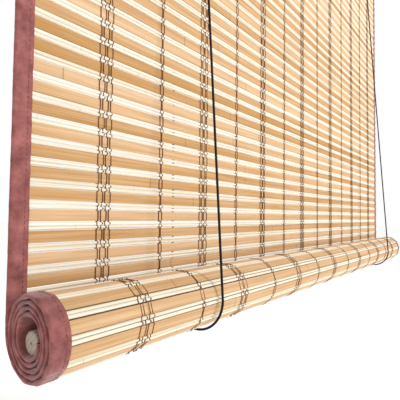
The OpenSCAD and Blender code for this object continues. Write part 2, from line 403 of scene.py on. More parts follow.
@dataclass(frozen=True)
class Bamboo(Finish):
    """Split bamboo, planed and left bare: long fibres along the piece in straw tones, with a
    slight shine. Its pattern follows the piece's own grain attribute, so each differs."""

    pale: str = "#E6BF94"
    golden: str = "#C18F52"
    ring: str = "#7E5229"
    fibre: float = 0.45 * MM
    streak: float = 3.0 * MM
    streak_length: float = 160 * MM
    ring_spacing: float = 310 * MM
    ring_width: float = 1.1 * MM
    ring_strength: float = 0.55
    tone_share: float = 0.28
    bump: float = 0.12

    def make(self) -> bpy.types.Material:
        """Builds streaks, fibres and growth rings over the grain attribute."""
        material, tree, shader = self.start()
        shader.inputs["Specular IOR Level"].default_value = 0.2
        grain = add_node(tree, "Attribute", attribute_name="grain").outputs["Vector"]
        tone = add_node(tree, "Attribute", attribute_name="tone").outputs["Fac"]
        wide = add_node(tree, "Mapping", {
            "Vector": grain,
            "Scale": (1 / self.streak_length, 1 / self.streak, 1 / self.streak)})
        streaks = add_node(tree, "TexNoise", {
            "Vector": wide.outputs[0], "Scale": 1.0, "Detail": 3.0, "Roughness": 0.6})
        fine = add_node(tree, "Mapping", {
            "Vector": grain, "Scale": (1 / (60 * MM), 1 / self.fibre, 1 / self.fibre)})
        fibres = add_node(tree, "TexNoise", {
            "Vector": fine.outputs[0], "Scale": 1.0, "Detail": 2.0, "Roughness": 0.5})
        shade = add_node(tree, "Math", {0: tone, 1: self.tone_share, 2: streaks.outputs[0]},
                         operation="MULTIPLY_ADD")
        body = add_ramp(tree, shade.outputs[0], [(0.2, self.golden), (0.8, self.pale)])
        fibre_dark = add_node(tree, "MapRange", {
            "Value": fibres.outputs[0], "From Min": 0.3, "From Max": 0.62,
            "To Min": 0.80, "To Max": 1.05})
        lined = add_node(tree, "VectorMath", {0: body, 1: fibre_dark.outputs[0]},
                         operation="MULTIPLY")
        along = add_node(tree, "SeparateXYZ", {0: grain}).outputs[0]
        beside = add_node(tree, "Math", {0: along, 1: self.ring_spacing / 2},
                          operation="PINGPONG")
        ring = add_node(tree, "MapRange", {
            "Value": beside.outputs[0], "From Min": 0.0, "From Max": self.ring_width,
            "To Min": self.ring_strength, "To Max": 0.0}, interpolation_type="SMOOTHSTEP")
        ringed = add_node(tree, "Mix", {
            "Factor": ring.outputs[0], 6: lined.outputs[0], 7: colour(self.ring)},
            data_type="RGBA")
        tree.links.new(ringed.outputs[2], shader.inputs["Base Color"])
        relief = add_node(tree, "Bump", {
            "Height": fibres.outputs[0], "Strength": self.bump, "Distance": 0.2 * MM})
        tree.links.new(relief.outputs[0], shader.inputs["Normal"])
        return material


@dataclass(frozen=True)
class Cotton(Finish):
    """Woven or spun cotton, dyed: matt, with the threads' fine relief, painted shade between the
    threads and an uneven dye.
    Its pattern follows the piece's cloth attribute, in metres across and along."""

    dark: str = "#7A3E3E"
    light: str = "#BC746E"
    thread: float = 0.9 * MM
    blotch: float = 14 * MM
    sheen: float = 0.35
    relief: float = 0.35

    def make(self) -> bpy.types.Material:
        """Builds a plain weave of warp and weft ridges over an uneven dye, with painted shade
        darkening the grooves between the ridges.
        """
        material, tree, shader = self.start()
        shader.inputs["Sheen Weight"].default_value = self.sheen
        shader.inputs["Sheen Roughness"].default_value = 0.5
        shader.inputs["Specular IOR Level"].default_value = 0.25
        cloth = add_node(tree, "Attribute", attribute_name="cloth").outputs["Vector"]
        dye = add_node(tree, "TexNoise", {
            "Vector": cloth, "Scale": 1 / self.blotch, "Detail": 4.0, "Roughness": 0.65})
        body = add_ramp(tree, dye.outputs[0], [(0.3, self.dark), (0.72, self.light)])
        ridges = []
        for direction in ("X", "Y"):
            ridges.append(add_node(tree, "TexWave", {
                "Vector": cloth, "Scale": 0.314 / self.thread, "Distortion": 1.2,
                "Detail": 1.0, "Detail Scale": 2.0},
                wave_type="BANDS", bands_direction=direction).outputs["Fac"])
        weave = add_node(tree, "Math", {0: ridges[0], 1: ridges[1]}, operation="MULTIPLY")
        # Painted shade: the weave's height darkens the colour in the grooves between the thread
        # ridges.
        shade = add_node(tree, "MapRange", {
            "Value": weave.outputs[0], "From Min": 0.0, "From Max": 0.9,
            "To Min": 0.82, "To Max": 1.08})
        threads = add_node(tree, "VectorMath", {0: body, 1: shade.outputs[0]},
                           operation="MULTIPLY")
        tree.links.new(threads.outputs[0], shader.inputs["Base Color"])
        relief = add_node(tree, "Bump", {
            "Height": weave.outputs[0], "Strength": self.relief, "Distance": 0.25 * MM})
        tree.links.new(relief.outputs[0], shader.inputs["Normal"])
        return material


@dataclass(frozen=True)
class Yarn(Finish):
    """Twisted yarn or cord: matt fibres in two close tones, with a light fuzz."""

    dark: str = "#57321A"
    light: str = "#8A5A31"
    fleck: float = 1.6 * MM
    sheen: float = 0.2

    def make(self) -> bpy.types.Material:
        """Builds flecked fibres over the piece's own place."""
        material, tree, shader = self.start()
        shader.inputs["Sheen Weight"].default_value = self.sheen
        shader.inputs["Specular IOR Level"].default_value = 0.3
        place = add_node(tree, "TexCoord").outputs["Object"]
        flecks = add_node(tree, "TexNoise", {
            "Vector": place, "Scale": 1 / self.fleck, "Detail": 3.0, "Roughness": 0.6})
        body = add_ramp(tree, flecks.outputs[0], [(0.32, self.dark), (0.68, self.light)])
        tree.links.new(body, shader.inputs["Base Color"])
        relief = add_node(tree, "Bump", {
            "Height": flecks.outputs[0], "Strength": 0.3, "Distance": 0.1 * MM})
        tree.links.new(relief.outputs[0], shader.inputs["Normal"])
        return material


@dataclass(frozen=True)
class Timber(Finish):
    """Planed softwood, sealed: growth rings along X drawn as wavering bands, fine pores."""

    pale: str = "#D9B07C"
    dark: str = "#B98A55"
    ring: float = 5 * MM
    stretch: float = 0.06
    bump: float = 0.08

    def make(self) -> bpy.types.Material:
        """Builds ring bands and pores that run along the piece."""
        material, tree, shader = self.start()
        place = add_node(tree, "TexCoord").outputs["Object"]
        long = add_node(tree, "Mapping", {"Vector": place, "Scale": (self.stretch, 1.0, 1.0)})
        rings = add_node(tree, "TexWave", {
            "Vector": long.outputs[0], "Scale": 0.314 / self.ring, "Distortion": 6.0,
            "Detail": 3.0, "Detail Scale": 1.2}, wave_type="BANDS", bands_direction="DIAGONAL")
        pores = add_node(tree, "TexNoise", {
            "Vector": long.outputs[0], "Scale": 1 / (0.8 * MM), "Detail": 2.0})
        body = add_ramp(tree, rings.outputs["Fac"], [(0.1, self.pale), (0.95, self.dark)])
        shade = add_node(tree, "MapRange", {
            "Value": pores.outputs[0], "From Min": 0.35, "From Max": 0.6,
            "To Min": 0.88, "To Max": 1.03})
        grained = add_node(tree, "VectorMath", {0: body, 1: shade.outputs[0]},
                           operation="MULTIPLY")
        tree.links.new(grained.outputs[0], shader.inputs["Base Color"])
        relief = add_node(tree, "Bump", {
            "Height": pores.outputs[0], "Strength": self.bump, "Distance": 0.3 * MM})
        tree.links.new(relief.outputs[0], shader.inputs["Normal"])
        return material


@dataclass(frozen=True)
class ZincPlate(Finish):
    """Steel with a zinc plating: grey metal with soft, cloudy crystals and fine scuffs."""

    pale: str = "#C9CCCE"
    dark: str = "#9EA2A5"
    cloud: float = 4 * MM
    roughness: float = 0.34

    def make(self) -> bpy.types.Material:
        """Builds clouded metal whose roughness varies with the clouds."""
        material, tree, shader = self.start()
        shader.inputs["Metallic"].default_value = 1.0
        place = add_node(tree, "TexCoord").outputs["Object"]
        clouds = add_node(tree, "TexNoise", {
            "Vector": place, "Scale": 1 / self.cloud, "Detail": 4.0, "Roughness": 0.6})
        body = add_ramp(tree, clouds.outputs[0], [(0.3, self.dark), (0.7, self.pale)])
        tree.links.new(body, shader.inputs["Base Color"])
        gloss = add_node(tree, "MapRange", {
            "Value": clouds.outputs[0], "From Min": 0.3, "From Max": 0.7,
            "To Min": self.roughness + 0.1, "To Max": self.roughness - 0.06})
        tree.links.new(gloss.outputs[0], shader.inputs["Roughness"])
        return material


@dataclass(frozen=True)
class Nylon(Finish):
    """Injection-moulded nylon: a faint waxy gloss and a fine moulded grain."""

    body: str = "#EDEBE4"
    worn: str = "#DAD6CA"
    grain: float = 0.6 * MM
    roughness: float = 0.38

    def make(self) -> bpy.types.Material:
        """Builds slightly uneven plastic with a fine bump."""
        material, tree, shader = self.start()
        place = add_node(tree, "TexCoord").outputs["Object"]
        patches = add_node(tree, "TexNoise", {
            "Vector": place, "Scale": 1 / (6 * MM), "Detail": 2.0})
        tint = add_ramp(tree, patches.outputs[0], [(0.35, self.worn), (0.65, self.body)])
        tree.links.new(tint, shader.inputs["Base Color"])
        fine = add_node(tree, "TexNoise", {
            "Vector": place, "Scale": 1 / self.grain, "Detail": 1.0})
        relief = add_node(tree, "Bump", {
            "Height": fine.outputs[0], "Strength": 0.1, "Distance": 0.05 * MM})
        tree.links.new(relief.outputs[0], shader.inputs["Normal"])
        return material


SLAT_BAMBOO = Bamboo("split_bamboo_tan", "slat_bamboo", roughness=0.5)
STICK_BAMBOO = Bamboo("split_bamboo_pale", "stick_bamboo", roughness=0.45, pale="#FFFAEE",
                      golden="#EADABB", ring="#BD9A67", streak=2.0 * MM, ring_strength=0.5,
                      ring_width=0.7 * MM, tone_share=0.2)
WARP_YARN = Yarn("warp_yarn", "warp_thread", roughness=0.85)
EDGE_TAPE = Cotton("edge_tape_cotton", "edge_tape", roughness=0.85)
STITCH_YARN = Yarn("stitch_yarn", "edge_tape", roughness=0.8, dark="#774345", light="#955B5A")
LIFT_CORD = Yarn("lift_cord_braid", "lift_cord", roughness=0.7, dark="#0C0504",
                 light="#1F110D", sheen=0.0)
DOWEL_WOOD = Timber("dowel_timber", "dowel_wood", roughness=0.6, pale="#B5A594",
                    dark="#A39280", ring=2.2 * MM)
RAIL_WOOD = Timber("rail_timber", "rail_wood", roughness=0.45)
BRACKET_ZINC = ZincPlate("bracket_zinc", "bracket_steel")
SCREW_ZINC = ZincPlate("screw_zinc", "screw_steel", pale="#D6D2C4", dark="#A8A493",
                       roughness=0.28)
YOKE_ZINC = ZincPlate("yoke_zinc", "yoke_steel", roughness=0.4)
WHEEL_NYLON = Nylon("white_nylon", "wheel_nylon")
CAM_NYLON = Nylon("grey_nylon", "cam_nylon", body="#3B3D40", worn="#2E3032")


# ---------------------------------------------------------------- the cloth's course


class Side(Enum):
    """The blind's two side edges."""

    LEFT = -1
    RIGHT = 1


class Face(Enum):
    """The cloth's two faces: outwards from the roll is the rear face of the hanging part."""

    FRONT = -1
    REAR = 1


class Stretch(Enum):
    """The three lengths of the cloth: two hang from the head rail and the third is wound on the
    roll.
    """

    UPPER = "upper"
    PANEL = "panel"
    ROLL = "roll"


@dataclass
class Cloth:
    """The woven cloth's course: down the panel, then round the roll in a spiral.

    A length s is measured down from the panel's top. An offset is square to the cloth, and
    positive towards its rear face, which is the roll's outside.
    """

    slat_height: float = 9 * MM
    stick_radius: float = 1.45 * MM
    stick_places: Tuple[float, float] = (10.95 * MM, 14.2 * MM)
    turn_pitch: float = 3.7 * MM
    upper_rows: int = 7
    hanging_rows: int = 45
    wound_rows: int = 37

    def __post_init__(self) -> None:
        """Takes the cloth's places from the frame."""
        _, upper_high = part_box("upper_slats")
        panel_low, panel_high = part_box("panel_slats")
        tape_low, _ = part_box("upper_tape_left")
        _, tape_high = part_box("upper_tape_right")
        axis = Vector(joint("roll_turn")["pos_m"])
        self.pitch = (upper_high.z - panel_high.z) / self.upper_rows
        self.slat_thickness = panel_high.y - panel_low.y
        self.top = upper_high.z
        self.panel_y = (panel_low.y + panel_high.y) / 2
        self.roll_y, self.roll_z = axis.y, axis.z
        self.radius = self.panel_y - self.roll_y
        self.straight = self.top - self.roll_z
        self.upper_length = self.upper_rows * self.pitch
        self.length = (self.hanging_rows + self.wound_rows) * self.pitch - 0.5 * MM
        self.left, self.right = tape_low.x, tape_high.x

    def angle(self, s: float) -> float:
        """Returns the angle wound at a length s, in radians from the roll's rear."""
        if s <= self.straight:
            return 0.0
        wound = self.turn_pitch * (s - self.straight) / math.pi
        return (self.radius - math.sqrt(self.radius ** 2 - wound)) * 2 * math.pi / self.turn_pitch

    def place(self, s: float) -> Matrix:
        """Returns the matrix that puts a piece drawn round the origin at a length s."""
        if s <= self.straight:
            return Matrix.Translation((0, self.panel_y, self.top - s))
        angle = self.angle(s)
        radius = self.radius - self.turn_pitch * angle / (2 * math.pi)
        axis = Matrix.Translation((0, self.roll_y, self.roll_z))
        return axis @ Matrix.Rotation(-angle, 4, "X") @ Matrix.Translation((0, radius, 0))

    def point(self, x: float, s: float, offset: float) -> Vector:
        """Returns the point at x, a length s and an offset from the cloth's middle."""
        return self.place(s) @ Vector((x, offset, 0))

    def rows(self, stretch: Stretch) -> range:
        """Returns the rows of slats and sticks that a stretch holds."""
        if stretch is Stretch.UPPER:
            return range(self.upper_rows)
        if stretch is Stretch.PANEL:
            return range(self.upper_rows, self.hanging_rows)
        return range(self.hanging_rows, self.hanging_rows + self.wound_rows)

    def span(self, stretch: Stretch) -> Tuple[float, float]:
        """Returns the lengths at which a stretch starts and ends."""
        if stretch is Stretch.UPPER:
            return 0.0, self.upper_length
        if stretch is Stretch.PANEL:
            return self.upper_length, self.straight
        return self.straight, self.length

    def stick_rise(self, s: float, reach: float = 1.9 * MM) -> float:
        """Returns how nearly a length s is over a stick, from 0 to 1."""
        within = s % self.pitch
        rises = [math.exp(-((within - at) / reach) ** 2) for at in self.stick_places]
        return min(1.0, sum(rises))

    def ride(self, piece: bpy.types.Object, stretch: Stretch) -> None:
        """Attaches a finished piece to the head rail, or to the roll if it lies on the wound
        stretch.
        """
        if stretch is Stretch.UPPER:
            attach(piece, "headrail")
        elif stretch is Stretch.ROLL:
            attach(piece, "roll")
        else:
            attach(piece, "headrail")
            gather(piece)


def joint(name: str) -> dict:
    """Returns the frame's joint of that name."""
    return next(j for j in frame["joints"] if j["name"] == name)


def gather(piece: bpy.types.Object) -> None:
    """Gives a piece its own copy of its mesh.

    Args:
        piece: The finished piece.
    """
    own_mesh(piece)


# ---------------------------------------------------------------- slats and sticks


@dataclass
class Splints:
    """The flat slats and the round sticks, one piece of each for every stretch."""

    cloth: Cloth
    seed: int = 11
    cuts: int = 22
    edge_bevel: float = 0.35 * MM
    end_gap: float = 2.5 * MM
    bow: float = 0.22 * MM
    twist: float = 0.012
    stick_sides: int = 12
    tone_spread: float = 0.5

    def __post_init__(self) -> None:
        """Starts the random draws and measures the splints' length."""
        self.draw = random.Random(self.seed)
        self.half = (self.cloth.right - self.cloth.left) / 2 - self.end_gap

    def make_slat(self) -> bpy.types.Object:
        """Makes the master slat: a flat splint with rounded edges."""
        thick, high = self.cloth.slat_thickness / 2, self.cloth.slat_height / 2
        slat = add_block("slat_master", (-self.half, -thick, -high), (self.half, thick, high))
        modify(slat, "BEVEL", width=self.edge_bevel, segments=2, limit_method="ANGLE")
        return self.cut_along(slat)

    def make_stick(self) -> bpy.types.Object:
        """Makes the master stick: a round splint with broken ends."""
        stick = add_bar("stick_master", (-self.half, 0, 0), (self.half, 0, 0),
                        self.cloth.stick_radius, self.stick_sides)
        modify(stick, "BEVEL", width=self.edge_bevel, segments=1, limit_method="ANGLE",
               angle_limit=math.radians(60))
        return self.cut_along(stick)

    def cut_along(self, splint: bpy.types.Object) -> bpy.types.Object:
        """Cuts a splint's long edges, so that it can bow, and returns it."""
        with editing(splint) as mesh:
            pick_edges(splint, mesh, lambda e: abs((e.verts[0].co - e.verts[1].co).x) > self.half)
            bpy.ops.mesh.subdivide(number_cuts=self.cuts)
        return splint

    def lay(self, master: bpy.types.Object, name: str, s: float) -> bpy.types.Object:
        """Copies a master to a length down the cloth, with its own bow, grain and tone.

        Args:
            master: The slat or stick to copy.
            name: The copy's name.
            s: The length down the cloth of the copy's middle.

        Returns:
            The copy, in its place.
        """
        copy = copy_of(master, name, Matrix.Identity(4))
        points = points_of(copy)
        shift = np.array([self.draw.uniform(0, 4), self.draw.uniform(0, 1),
                          self.draw.uniform(0, 1)])
        set_vectors(copy, "grain", points + shift)
        set_tone(copy, self.draw.gauss(0, self.tone_spread))
        x = points[:, 0]
        for axis, share in ((1, 0.5), (2, 1.0)):
            waves = self.draw.uniform(2, 5)
            start = self.draw.uniform(0, 2 * math.pi)
            points[:, axis] += share * self.bow * np.sin(waves * x / self.half + start)
        lean = self.twist * np.sin(x * self.draw.uniform(2, 6) + self.draw.uniform(0, 6))
        points[:, 1] += lean * points[:, 2]
        set_points(copy, points)
        copy.data.transform(self.cloth.place(s))
        return copy

    def build(self) -> None:
        """Builds, dresses and hangs the slats and the sticks."""
        slat, stick = self.make_slat(), self.make_stick()
        for stretch in Stretch:
            slats: List[bpy.types.Object] = []
            sticks: List[bpy.types.Object] = []
            for row in self.cloth.rows(stretch):
                top = row * self.cloth.pitch
                slats.append(self.lay(slat, f"slat_{row}", top + self.cloth.slat_height / 2))
                for at in self.cloth.stick_places:
                    sticks.append(self.lay(stick, f"stick_{row}", top + at))
            for pieces, kind, finish in ((slats, "slats", SLAT_BAMBOO),
                                         (sticks, "sticks", STICK_BAMBOO)):
                piece = smooth(join(f"{stretch.value}_woven_{kind}", pieces), 40)
                finish.dress(piece)
                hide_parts(f"{stretch.value}_{kind}")
                self.cloth.ride(piece, stretch)
                LOG.info("%s: %d rows", piece.name, len(slats))
        discard(slat)
        discard(stick)


# ---------------------------------------------------------------- warp threads


@dataclass
class Warp:
    """The brown warp threads that bind the splints, in wide and narrow bands.

    In each band the threads draw together on one splint and apart on the next, slats and
    sticks alike, and front and rear threads cross between them.
    """

    cloth: Cloth
    radius: float = 0.46 * MM
    wide_close: Tuple[float, ...] = (-5.4, -3.0, 3.0, 5.4)
    wide_apart: Tuple[float, ...] = (-7.0, -1.0, 1.0, 7.0)
    narrow_close: Tuple[float, ...] = (-0.55, 0.55)
    narrow_apart: Tuple[float, ...] = (-2.2, 2.2)
    half_band: float = 7 * MM
    wide_bands: int = 7
    inset: float = 0.35 * MM
    gap_offsets: Tuple[float, float] = (0.6 * MM, 0.25 * MM)
    roll_turn_share: float = 0.97
    wobble: float = 0.18

    def __post_init__(self) -> None:
        """Takes the bands' places from the frame: wide ones first, narrow ones between."""
        low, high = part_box("panel_threads")
        first, last = low.x + self.half_band, high.x - self.half_band
        step = (last - first) / (self.wide_bands - 1)
        self.wide = [first + step * i for i in range(self.wide_bands)]
        self.narrow = [first + step * (i + 0.5) for i in range(self.wide_bands - 1)]

    def stations(self, stretch: Stretch) -> List[Tuple[float, float, str]]:
        """Lists a thread's points: the length, the count of splints before, and what it is on."""
        cloth = self.cloth
        first, second = cloth.stick_places
        start, end = cloth.span(stretch)
        if stretch is Stretch.UPPER:
            start = cloth.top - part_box("upper_threads")[1].z
        if stretch is Stretch.ROLL:
            end = start + self.roll_turn_share * 2 * math.pi * (cloth.radius - 2 * MM)
        marks = ((self.inset, 0, "slat"), (cloth.slat_height - self.inset, 0, "slat"),
                 ((cloth.slat_height + first - cloth.stick_radius) / 2, 0.5, "gap"),
                 (first, 1, "stick"), ((first + second) / 2, 1.5, "gap"), (second, 2, "stick"),
                 ((second + cloth.stick_radius + cloth.pitch) / 2, 2.5, "gap"))
        found = []
        for row in range(cloth.hanging_rows + cloth.wound_rows):
            for at, count, what in marks:
                s = row * cloth.pitch + at
                if start - 1e-6 <= s <= end + 1e-6:
                    found.append((s, 3 * row + count, what))
        return found

    def spread(self, wide: bool, count: int) -> Tuple[float, ...]:
        """Returns the threads' places across a band, in millimetres, on a counted splint."""
        if count % 2:
            return self.wide_apart if wide else self.narrow_apart
        return self.wide_close if wide else self.narrow_close

    def offset(self, what: str, face: Face, thread: int) -> float:
        """Returns how far a thread stands off the cloth's middle at a station."""
        if what == "gap":
            return face.value * self.gap_offsets[thread % 2]
        over = self.cloth.slat_thickness / 2 if what == "slat" else self.cloth.stick_radius
        return face.value * (over + 0.8 * self.radius)

    def route(self, x: float, wide: bool, thread: int, face: Face, stretch: Stretch,
              phase: int) -> np.ndarray:
        """Returns one thread's points.

        Args:
            x: The band's middle.
            wide: Whether the band has four threads or two.
            thread: The thread's number in its band.
            face: The face of the cloth that it runs on.
            stretch: The stretch of the cloth.
            phase: 0 or 1, to start the zigzag a row later.

        Returns:
            The points, as rows of x, y and z.
        """
        points = []
        for s, count, what in self.stations(stretch):
            before = self.spread(wide, math.floor(count) + phase)[thread]
            after = self.spread(wide, math.ceil(count) + phase)[thread]
            across = (before + after) / 2
            across += self.wobble * wander(s * 90, x * 40, thread + 5 * face.value)
            points.append(self.cloth.point(x + across * MM, s, self.offset(what, face, thread)))
        return np.array(points)

    def build(self) -> None:
        """Builds, dresses and hangs the threads of each stretch and face."""
        for stretch in Stretch:
            for face in Face:
                if stretch is Stretch.ROLL and face is Face.FRONT:
                    continue
                routes = []
                for xs, wide in ((self.wide, True), (self.narrow, False)):
                    for number, x in enumerate(xs):
                        phase = number % 2 if wide else (number + 1) % 2
                        phase += 1 if face is Face.REAR else 0
                        for thread in range(len(self.spread(wide, phase))):
                            routes.append(self.route(x, wide, thread, face, stretch, phase))
                name = f"{stretch.value}_warp_{face.name.lower()}"
                piece = WARP_YARN.dress(add_wires(name, routes, self.radius))
                if stretch is Stretch.ROLL or face is Face.FRONT:
                    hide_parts(f"{stretch.value}_threads")
                self.cloth.ride(piece, stretch)
                LOG.info("%s: %d threads", name, len(routes))


# ---------------------------------------------------------------- edge tapes


@dataclass
class EdgeTape:
    """A cotton tape folded over one side edge and sewn through, with its stitches."""

    cloth: Cloth
    side: Side
    thickness: float = 0.34 * MM
    lie: float = 0.3 * MM
    fold_reach: float = 2.2 * MM
    step: float = 1.25 * MM
    stitch_in: float = 3.2 * MM
    stitch_length: float = 2.5 * MM
    stitch_gap: float = 1.3 * MM
    stitch_radius: float = 0.3 * MM
    stitch_sunk: float = -0.3 * MM
    stitch_proud: float = 0.26 * MM
    stitch_pull: float = 0.14 * MM
    pull_reach: float = 0.9 * MM
    crease: float = 0.24 * MM
    scallop: float = 0.5 * MM
    ragged: float = 0.35 * MM
    roll_drift: float = 1.1 * MM

    def __post_init__(self) -> None:
        """Takes the edge's place and the tape's visible width from the frame."""
        low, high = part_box(f"upper_tape_{self.side.name.lower()}")
        self.visible = high.x - low.x
        self.edge = self.cloth.left if self.side is Side.LEFT else self.cloth.right
        self.key = 3.0 * self.side.value
        inner = [1.0, 0.975, 0.93, 0.87, 0.81, 0.75, 0.62, 0.48, 0.34, 0.22, 0.13, 0.07, 0.025]
        self.shares = inner + [0.0] + inner[::-1]
        self.faces = [-1] * len(inner) + [0] + [1] * len(inner)

    def half_thickness(self, s: float, depth: float, face: int) -> float:
        """Returns how far a layer stands off the middle, at a length and a depth in."""
        cloth = self.cloth
        rise = cloth.stick_rise(s)
        height = cloth.slat_thickness / 2 + (cloth.stick_radius - cloth.slat_thickness / 2) * rise
        crease = wander(s * 55, depth * 60, self.key + face) + 0.5 * wander(s * 140, depth * 25,
                                                                           self.key - face)
        loose = max(0.0, crease) if s > cloth.straight else crease
        from_seam = self.visible - self.stitch_in - depth
        stitched = math.exp(-(from_seam / self.pull_reach) ** 2)
        height += self.lie + self.crease * loose - self.stitch_pull * stitched
        edge = min(1.0, depth / self.fold_reach)
        return height * math.sqrt(max(0.0, 1 - (1 - edge) ** 2))

    def shift(self, s: float) -> float:
        """Returns how far the tape's fold wanders sideways at a length, more in the roll."""
        turned = self.cloth.angle(s)
        straight = self.ragged * wander(s * 18, self.key)
        if turned <= 0:
            return straight
        return straight + self.roll_drift * wander(turned * 0.35, 7.0, self.key) * min(1, turned)

    def surface(self, s: float, share: float, face: int) -> Vector:
        """Returns a point of the tape's middle surface.

        Args:
            s: The length down the cloth.
            share: The depth in from the fold, from 0 to 1 at the inner edge.
            face: -1 for the front layer, 1 for the rear layer, 0 at the fold.

        Returns:
            The point.
        """
        drawn_in = (self.scallop * self.cloth.stick_rise(s)
                    - self.ragged * wander(s * 60, self.key))
        depth = share * (self.visible - drawn_in * share)
        x = self.edge - self.side.value * depth + self.side.value * self.shift(s) * (1 - share)
        return self.cloth.point(x, s, face * self.half_thickness(s, depth, face))

    def lengths(self, stretch: Stretch) -> np.ndarray:
        """Returns the lengths down a stretch at which the tape has a row of points."""
        start, end = self.cloth.span(stretch)
        return np.linspace(start, end, max(2, round((end - start) / self.step)))

    def make_strip(self, stretch: Stretch) -> bpy.types.Object:
        """Makes a stretch of the folded tape, with its weave's own coordinates."""
        lengths = self.lengths(stretch)
        grid = np.array([[self.surface(s, share, face)
                          for share, face in zip(self.shares, self.faces)] for s in lengths])
        name = f"{stretch.value}_edge_tape_{self.side.name.lower()}"
        strip = add_grid(name, grid)
        across = [face * share * self.visible for share, face in zip(self.shares, self.faces)]
        cloth = np.array([[(u, s, 0.0) for u in across] for s in lengths])
        set_vectors(strip, "cloth", cloth.reshape(-1, 3))
        modify(strip, "SOLIDIFY", thickness=self.thickness, offset=0.0)
        return smooth(strip, 70)

    def make_stitches(self, stretch: Stretch) -> bpy.types.Object:
        """Makes the row of stitches on both faces of a stretch."""
        start, end = self.cloth.span(stretch)
        share = 1 - self.stitch_in / self.visible
        pace = self.stitch_length + self.stitch_gap
        routes = []
        for face in Face:
            if stretch is Stretch.ROLL and face is Face.FRONT:
                continue
            for i in range(int((end - start) / pace)):
                first = start + pace * (i + 0.2)
                points = []
                for t in (0.0, 0.12, 0.5, 0.88, 1.0):
                    off = self.stitch_sunk if t in (0.0, 1.0) else self.stitch_proud
                    at = first + t * self.stitch_length
                    below = self.surface(at, share, face.value)
                    away = self.cloth.place(at).to_3x3() @ Vector((0, face.value * off, 0))
                    points.append(below + away)
                routes.append(np.array(points))
        name = f"{stretch.value}_tape_stitches_{self.side.name.lower()}"
        return add_wires(name, routes, self.stitch_radius, resolution=0)

    def build(self) -> None:
        """Builds, dresses and hangs the tape and its stitches."""
        for stretch in Stretch:
            strip = EDGE_TAPE.dress(self.make_strip(stretch))
            stitches = STITCH_YARN.dress(self.make_stitches(stretch))
            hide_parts(f"{stretch.value}_tape_{self.side.name.lower()}")
            start, end = self.cloth.span(stretch)
            for piece in (strip, stitches):
                self.cloth.ride(piece, stretch)
            LOG.info("%s: %.0f mm long", strip.name, (end - start) / MM)


# ---------------------------------------------------------------- lift cords


